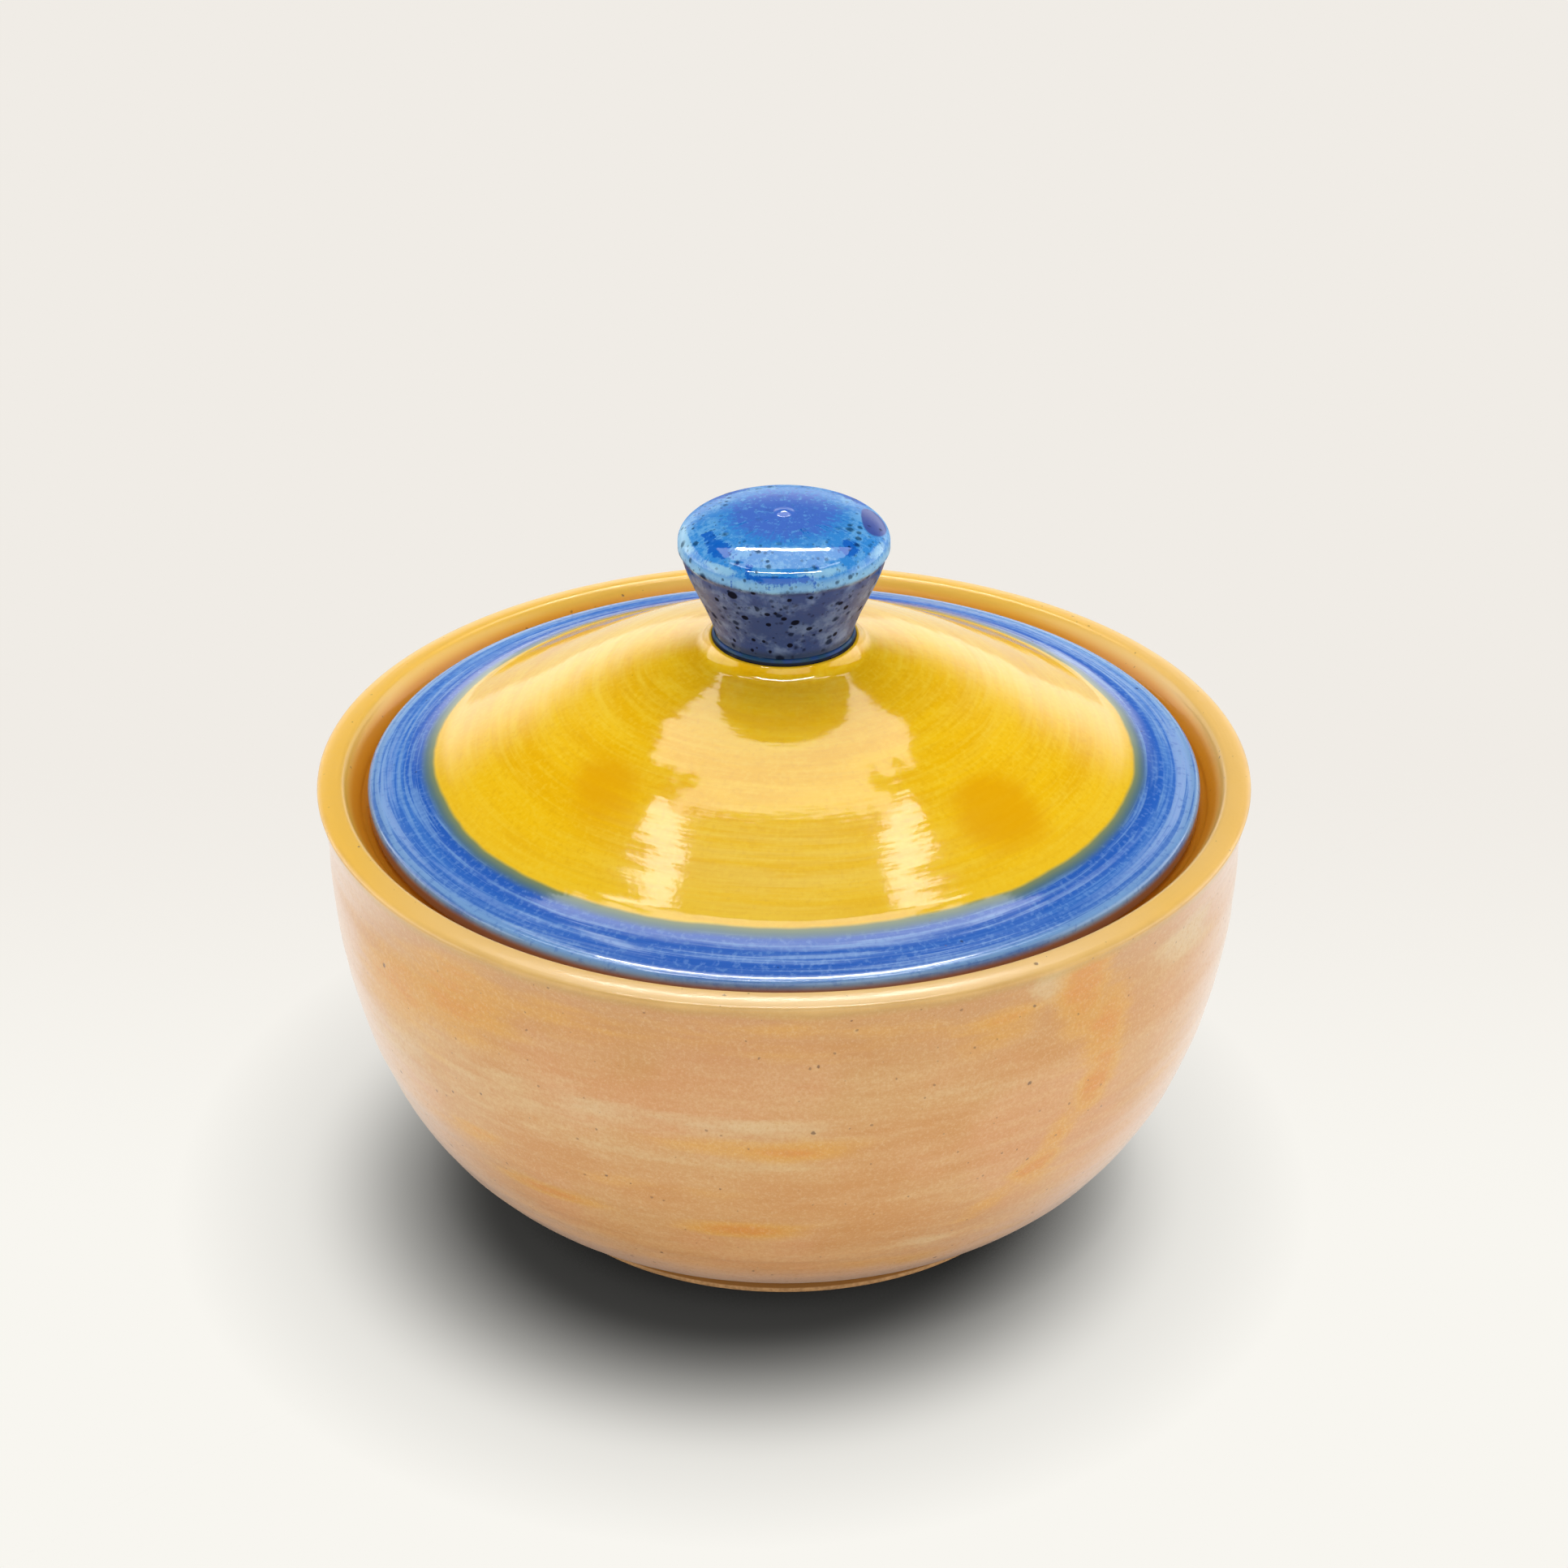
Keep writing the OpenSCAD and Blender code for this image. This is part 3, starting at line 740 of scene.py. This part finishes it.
knobGlaze = {
    # on the side: angle, height, half width in degrees, half height, lean, strength
    "specks": [
        (-30, 105.8, 3.4, 0.75, 0, 1), (-17, 107, 1.7, 0.4, 0, 0.9), (-43, 103.8, 2, 0.45, 0, 0.9),
        (-25, 101.6, 2.6, 0.5, 0, 1), (-10, 103, 2, 0.4, 0, 0.9), (-5, 103.3, 1.6, 0.4, 0, 0.8),
        (0, 102.2, 2, 0.45, 0, 0.9), (7, 101.3, 3, 0.6, 0.03, 1), (-10, 100.8, 2, 0.45, 0, 0.9),
        (3, 106, 1.8, 0.4, 0, 0.8), (15, 106.2, 2, 0.4, 0, 0.8), (35, 103.8, 2, 0.4, 0, 0.9),
        (41, 102.4, 2.2, 0.45, 0, 0.9), (17, 99.7, 2.4, 0.45, 0, 0.9), (26, 98.8, 1.8, 0.4, 0, 0.8),
        (-23, 97, 2, 0.4, 0, 0.9), (-15, 97, 1.8, 0.4, 0, 0.8), (4.5, 96.4, 2.4, 0.5, 0, 1),
        (-11, 95, 1.8, 0.4, 0, 0.8), (-26, 94.8, 2, 0.4, 0, 0.8), (-42, 95.7, 2, 0.4, 0, 0.9),
        (-34, 98.8, 1.8, 0.4, 0, 0.8), (41, 97, 2.4, 0.5, 0, 0.9), (62, 100, 2.4, 0.5, 0, 0.9),
        (-66, 99, 2.2, 0.5, 0, 0.9), (95, 104, 2.6, 0.5, 0, 1), (130, 100, 2.2, 0.5, 0, 0.9),
        (165, 103, 2.8, 0.6, 0, 1), (-150, 98, 2.4, 0.5, 0, 0.9), (-120, 105, 2.2, 0.5, 0, 0.9),
        (-92, 101, 2.2, 0.45, 0, 0.9),
    ],
    # on the cap: angle, radius, half width in degrees, half width in millimetres, lean, strength
    "pools": [
        (-47, 13.2, 12, 1.5, 0.02, 1), (-66, 12.4, 8, 1.1, 0.02, 0.7), (48, 13.1, 10, 1.4, -0.03, 0.9),
        (-3, 15.75, 19, 0.32, 0, 1), (-25, 14.7, 8, 0.8, 0.03, 0.5), (130, 13.5, 16, 1.4, 0, 0.9),
        (-140, 13.2, 18, 1.5, 0, 0.9),
    ],
    "lens": [(93, 13.6, 20, 2.0, 0, 1)],
    "milky": [
        (22, 15.4, 18, 0.55, 0, 0.8), (-38, 15.6, 14, 0.5, 0, 0.9), (-80, 15.4, 22, 0.8, 0, 1),
        (66, 15.5, 14, 0.6, 0, 0.7), (180, 14.5, 60, 1.2, 0, 0.8),
    ],
}
knob = spin("knobClay", knobOutline(knobShape), knobShape["turns"], knobRelief, {
    "specks": lambda s, r, z, a: placed(knobGlaze["specks"], a, z) * (z < capFoot),
    "pools": lambda s, r, z, a: placed(knobGlaze["pools"], a, r) * (z > capFoot - 0.4),
    "lens": lambda s, r, z, a: placed(knobGlaze["lens"], a, r) * (z > capFoot),
    "milky": lambda s, r, z, a: placed(knobGlaze["milky"], a, r) * (z > capFoot - 1.2),
})
slip = spin("slipRingClay", slipOutline(slipShape), slipShape["turns"])
print("knob", len(knob.data.polygons), "faces, slip ring", len(slip.data.polygons), "faces")

cobalt = {
    "ultramarine": srgb(66, 106, 194), "azure": srgb(50, 130, 204), "sky": srgb(100, 164, 216),
    "pale": srgb(148, 196, 222), "streak": srgb(4, 88, 184), "slate": srgb(36, 66, 124),
    "slatePale": srgb(96, 120, 164), "violet": srgb(60, 70, 146), "navy": srgb(24, 50, 84),
    "speck": srgb(4, 6, 22), "bump": 0.00005,
    "roughness": 0.35, "specular": 0.0, "coat": 1.0, "coatRoughness": 0.05, "coatIor": 1.55,
}
navy = {
    "pool": srgb(36, 70, 94), "bump": 0.00006,
    "roughness": 0.35, "specular": 0.0, "coat": 0.25, "coatRoughness": 0.08, "coatIor": 1.5,
}


def cobaltGlaze():
    material, pen, shader = newMaterial("cobaltGlaze", cobalt)
    axis = aboutAxis(pen)
    radius, height = axis["radius"], axis["height"]
    cloud = pen.group(mottle, Per_mm=0.28, Detail=4.0, Roughness=0.6, Seed=1.0)
    grain = pen.group(mottle, Per_mm=1.2, Detail=4.0, Roughness=0.72, Seed=4.0)
    feather = pen.group(streaks, Across=radius, Per_mm=0.22, Round=15.0, Detail=4.0, Seed=6.0)
    level = pen.group(streaks, Across=height, Per_mm=0.5, Round=3.0, Detail=3.0, Seed=2.0)
    # the cap: ultramarine in the middle, azure and pale sky outside, feathered outwards
    broken = pen.plus(pen.around(feather, 7.0), pen.around(grain, 11.0))
    top = pen.mix(pen.ramp(pen.plus(radius, broken), 6.2, 9.6), cobalt["ultramarine"], cobalt["azure"])
    flecks = pen.times(pen.ramp(grain, 0.53, 0.61), pen.ramp(cloud, 0.4, 0.6, 0.3, 0.8))
    top = pen.mix(flecks, top, cobalt["sky"])
    clouds = pen.ramp(pen.plus(cloud, pen.around(grain, 0.9)), 0.42, 0.62)
    outer = pen.times(pen.ramp(radius, 8.0, 11.5), clouds)
    top = pen.mix(pen.times(outer, 0.85), top, cobalt["sky"])
    speckled = pen.times(pen.ramp(feather, 0.56, 0.66), pen.ramp(grain, 0.45, 0.6))
    top = pen.mix(pen.times(speckled, 0.6), top, cobalt["streak"])
    milky = pen.plus(pen.stored("milky"), pen.around(grain, 0.9))
    top = pen.mix(pen.ramp(milky, 0.3, 0.8, 0.0, 0.8), top, cobalt["pale"])
    top = pen.mix(pen.ramp(height, capFoot + 1.3, capFoot - 0.1, 0.0, 0.55), top, cobalt["pale"])
    pools = pen.plus(pen.stored("pools"), pen.plus(pen.around(grain, 2.4), pen.around(feather, 1.6)))
    top = pen.mix(pen.ramp(pools, 0.3, 0.6, 0.0, 0.92), top, cobalt["streak"])
    lens = pen.plus(pen.stored("lens"), pen.around(grain, 0.2))
    top = pen.mix(pen.ramp(lens, 0.35, 0.5, 0.0, 0.9), top, cobalt["violet"])
    # the side: slate with level streaks, navy at the foot
    side = pen.mix(pen.ramp(cloud, 0.42, 0.66), cobalt["slate"], cobalt["slatePale"])
    side = pen.mix(pen.ramp(level, 0.52, 0.7, 0.0, 0.5), side, cobalt["slate"])
    crease = pen.plus(height, pen.plus(pen.around(cloud, 2.0), pen.around(grain, 1.0)))
    colour = pen.mix(pen.ramp(crease, capFoot - 1.4, capFoot - 0.3), side, top)
    colour = pen.mix(pen.ramp(height, knobFoot + 1.8, knobFoot + 0.4, 0.0, 0.9), colour, cobalt["navy"])
    # dark marks: dots and dust on the side and round the cap, and larger specks each in its place
    dots = pen.group(specks, Per_mm=0.6, Size=0.34, Share=0.6, Seed=2.0)
    dust = pen.group(specks, Per_mm=1.3, Size=0.36, Share=0.5, Seed=5.0)
    onSide = pen.ramp(height, capFoot + 0.1, capFoot - 0.9)
    onCap = pen.ramp(radius, 8.5, 10.5, 0.15, 0.85)
    scattered = pen.larger(pen.times(dots, 0.8), pen.times(dust, 0.5))
    marks = pen.times(scattered, pen.larger(onSide, onCap))
    largeSpecks = pen.plus(pen.stored("specks"), pen.around(grain, 0.3))
    marks = pen.larger(marks, pen.ramp(largeSpecks, 0.3, 0.6, 0.0, 0.95))
    colour = pen.mix(marks, colour, cobalt["speck"])
    relief = pen.group(
        skin, Across=height, Rings=0.3, Ring_Per_mm=0.6, Peel=0.5, Peel_Per_mm=0.5, Seed=3.0)
    wire(pen, shader, colour, relief, cobalt["bump"])
    # the marks shine less, and so do edges that turn away
    shine = pen.times(pen.ramp(marks, 0.1, 0.8, 1.0, 0.15), pen.ramp(pen.facing(), 0.6, 0.92, 1.0, 0.5))
    glazed = pen.ramp(height, capFoot - 1.3, capFoot + 0.1, 0.7, 0.66)
    pen.link(pen.times(pen.times(glazed, shine), cobalt["coat"]), shader["Coat Weight"])
    return material


def navySlip():
    material, pen, shader = newMaterial("navySlip", navy)
    cloud = pen.group(mottle, Per_mm=0.5, Detail=3.0, Seed=12.0)
    colour = pen.mix(pen.ramp(cloud, 0.4, 0.62), cobalt["slate"], navy["pool"])
    # painted shade: the slip's foot turns near black where it meets the lid
    low = pen.ramp(aboutAxis(pen)["height"], slipFoot + 0.65, slipFoot + 0.35)
    colour = pen.mix(low, colour, cobalt["speck"])
    relief = pen.group(skin, Across=0.0, Rings=0.0, Peel=0.8, Peel_Per_mm=0.8, Seed=13.0)
    wire(pen, shader, colour, relief, navy["bump"])
    return material


knob.data.materials.append(cobaltGlaze())
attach(knob, "lid")
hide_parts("knob")
slip.data.materials.append(navySlip())
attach(slip, "lid")
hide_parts("slip_ring")

# the floor
floorLook = {
    "near": srgb(248, 246, 240), "far": srgb(240, 236, 230), "white": srgb(238, 236, 232),
    "half": 4.0, "bounce": 0.30, "contact": 0.01, "contactPower": 0.3,
    # the painted shadow, in metres: its middle, its stretch, and where its dark and faint parts fade
    "middle": (-0.0066, -0.0085), "stretch": (1.1, 1.0), "darkFade": (0.042, 0.079),
    "faintFade": (0.060, 0.099), "darkTone": 0.052, "faintTone": 0.70,
}


def paleFloor(s):
    material = bpy.data.materials.new("paleFloor")
    material.use_nodes = True
    material.node_tree.nodes.clear()
    pen = nodePen(material.node_tree)
    place = pen.add("ShaderNodeSeparateXYZ", {0: pen.place()}).outputs
    tone = pen.mix(pen.ramp(place[1], -0.03, 0.14), s["near"], s["far"])
    # the shadow fades with the distance from a middle a little left and front of the bowl
    off = [pen.times(pen.minus(place[k], s["middle"][k]), s["stretch"][k]) for k in (0, 1)]
    away = pen.math("SQRT", pen.plus(pen.times(off[0], off[0]), pen.times(off[1], off[1])))
    faint = pen.ramp(away, s["faintFade"][0], s["faintFade"][1], s["faintTone"], 1.0, "LINEAR")
    dark = pen.times(pen.ramp(away, s["darkFade"][0], s["darkFade"][1]), faint)
    shadow = pen.plus(pen.times(dark, 1 - s["darkTone"]), s["darkTone"])
    sky = pen.add("ShaderNodeAmbientOcclusion", {"Distance": s["contact"]}, samples=4).outputs["AO"]
    shade = pen.times(shadow, pen.math("POWER", sky, s["contactPower"]))
    seen = pen.add("ShaderNodeEmission", {"Color": tone, "Strength": shade}).outputs[0]
    # light from the floor onto the bowl is even, so only what looks at the floor sees the shadow
    matte = pen.add("ShaderNodeBsdfDiffuse", {"Color": s["white"]}).outputs[0]
    glow = pen.add("ShaderNodeEmission", {"Color": s["white"], "Strength": s["bounce"]}).outputs[0]
    lit = pen.add("ShaderNodeAddShader", {0: matte, 1: glow}).outputs[0]
    path = pen.add("ShaderNodeLightPath").outputs
    mirrored = pen.larger(path["Is Camera Ray"], path["Is Glossy Ray"])
    direct = pen.larger(mirrored, path["Is Transmission Ray"])
    both = pen.add("ShaderNodeMixShader", {0: direct, 1: lit, 2: seen}).outputs[0]
    pen.add("ShaderNodeOutputMaterial", {"Surface": both})
    return material


mesh = bpy.data.meshes.new("floor")
half = floorLook["half"]
mesh.from_pydata([(-half, -half, 0), (half, -half, 0), (half, half, 0), (-half, half, 0)], [], [(0, 1, 2, 3)])
mesh.materials.append(paleFloor(floorLook))
floor = bpy.data.objects.new("floor", mesh)
scene.collection.objects.link(floor)
print("floor laid")

# the room: bright low down and dim overhead, so that only the panels show in the glaze
skyLook = {"colour": (1.0, 0.985, 0.96, 1.0), "low": 0.1, "high": 0.44, "bright": 1.6, "dim": 0.05}
world = bpy.data.worlds.new("studio")
scene.world = world
world.use_nodes = True
world.node_tree.nodes.clear()
pen = nodePen(world.node_tree)
way = pen.add("ShaderNodeTexCoord").outputs["Generated"]
up = pen.add("ShaderNodeSeparateXYZ", {0: way}).outputs[2]
strength = pen.ramp(up, skyLook["low"], skyLook["high"], skyLook["bright"], skyLook["dim"])
sky = pen.add("ShaderNodeBackground", {"Color": skyLook["colour"], "Strength": strength}).outputs[0]
pen.add("ShaderNodeOutputWorld", {"Surface": sky})

bank = {
    # panels side by side; the front edge is swept back as front + sweep * (x / half)^2
    "glow": 11.8, "wide": 0.0306, "half": 0.137, "front": -0.011, "sweep": 0.035, "back": 0.222,
    "height": 0.40, "eachSide": 3,
    # extra panels: middle x, front edge, back edge, width (each is repeated on the other side)
    "wings": [(0.122, 0.017, 0.052, 0.030), (0.1245, 0.078, 0.222, 0.035), (0.1545, 0.114, 0.222, 0.025)],
}
lamps = {
    # middle of the panel in metres, turn about the upright in degrees, width, depth, power in watts
    "barLeft": ((-0.1435, 0.0135, 0.40), 33, 0.024, 0.092, 0.054),
    "barRight": ((0.1435, 0.0135, 0.40), -33, 0.024, 0.092, 0.054),
    "frameBack": ((0.0, 0.205, 0.398), 0, 0.180, 0.024, 0.62),
    "frameFront": ((0.0, -0.086, 0.398), 0, 0.30, 0.012, 0.80),
}
softboxes = {
    # place, aim, width, height, power in watts
    "front": ((0.15, -1.1, 0.75), (0, 0, 0.05), 1.3, 0.8, 5.4),
    "left": ((-1.15, 0.25, 0.42), (0, 0, 0.05), 1.3, 0.8, 6.2),
    "right": ((1.15, 0.25, 0.42), (0, 0, 0.05), 1.3, 0.8, 6.2),
}


def hang(name, place, turn, wide, deep, power):
    lamp = bpy.data.lights.new(name, "AREA")
    lamp.shape, lamp.size, lamp.size_y, lamp.energy = "RECTANGLE", wide, deep, power
    body = bpy.data.objects.new(name, lamp)
    scene.collection.objects.link(body)
    body.location, body.rotation_euler = place, turn
    body.visible_camera = False


panels = []
for x in bank["wide"] * np.arange(-bank["eachSide"], bank["eachSide"] + 1):
    near = bank["front"] + bank["sweep"] * (x / bank["half"])**2
    panels.append((x, near, bank["back"], bank["wide"]))
for x, near, far, wide in bank["wings"]:
    panels += [(-x, near, far, wide), (x, near, far, wide)]
for k, (x, near, far, wide) in enumerate(panels):
    deep = far - near
    lamps[f"bank{k}"] = ((x, (near + far) / 2, bank["height"]), 0, wide, deep, bank["glow"] * wide * deep)
for name, (place, turn, wide, deep, power) in lamps.items():
    hang(name, place, (0, 0, math.radians(turn)), wide, deep, power)
    bpy.data.objects[name].visible_diffuse = not name.startswith("frame")      # the thin frame only glints
for name, (place, aim, wide, tall, power) in softboxes.items():
    dx, dy, dz = np.array(aim) - np.array(place)
    hang(name, place, (math.atan2(math.hypot(dx, dy), -dz), 0, math.atan2(-dx, dy)), wide, tall, power)

look = {
    "away": 12, "elevation": 28.51, "pitch": 28.63,      # bowl radii from the aim, and degrees
    "lens": 128.41, "sensor": 36, "aim": 0.0685, "near": 0.05, "far": 20,
}
camera = bpy.data.objects.new("camera", bpy.data.cameras.new("camera"))
scene.collection.objects.link(camera)
camera.data.lens, camera.data.sensor_width = look["lens"], look["sensor"]
camera.data.sensor_fit = "HORIZONTAL"
camera.data.clip_start, camera.data.clip_end = look["near"], look["far"]
away = look["away"] * bowlRadius * mm
rise = math.radians(look["elevation"])
camera.location = (0, -away * math.cos(rise), look["aim"] + away * math.sin(rise))
camera.rotation_euler = (math.radians(90 - look["pitch"]), 0, 0)
scene.camera = camera
print("light and camera set")
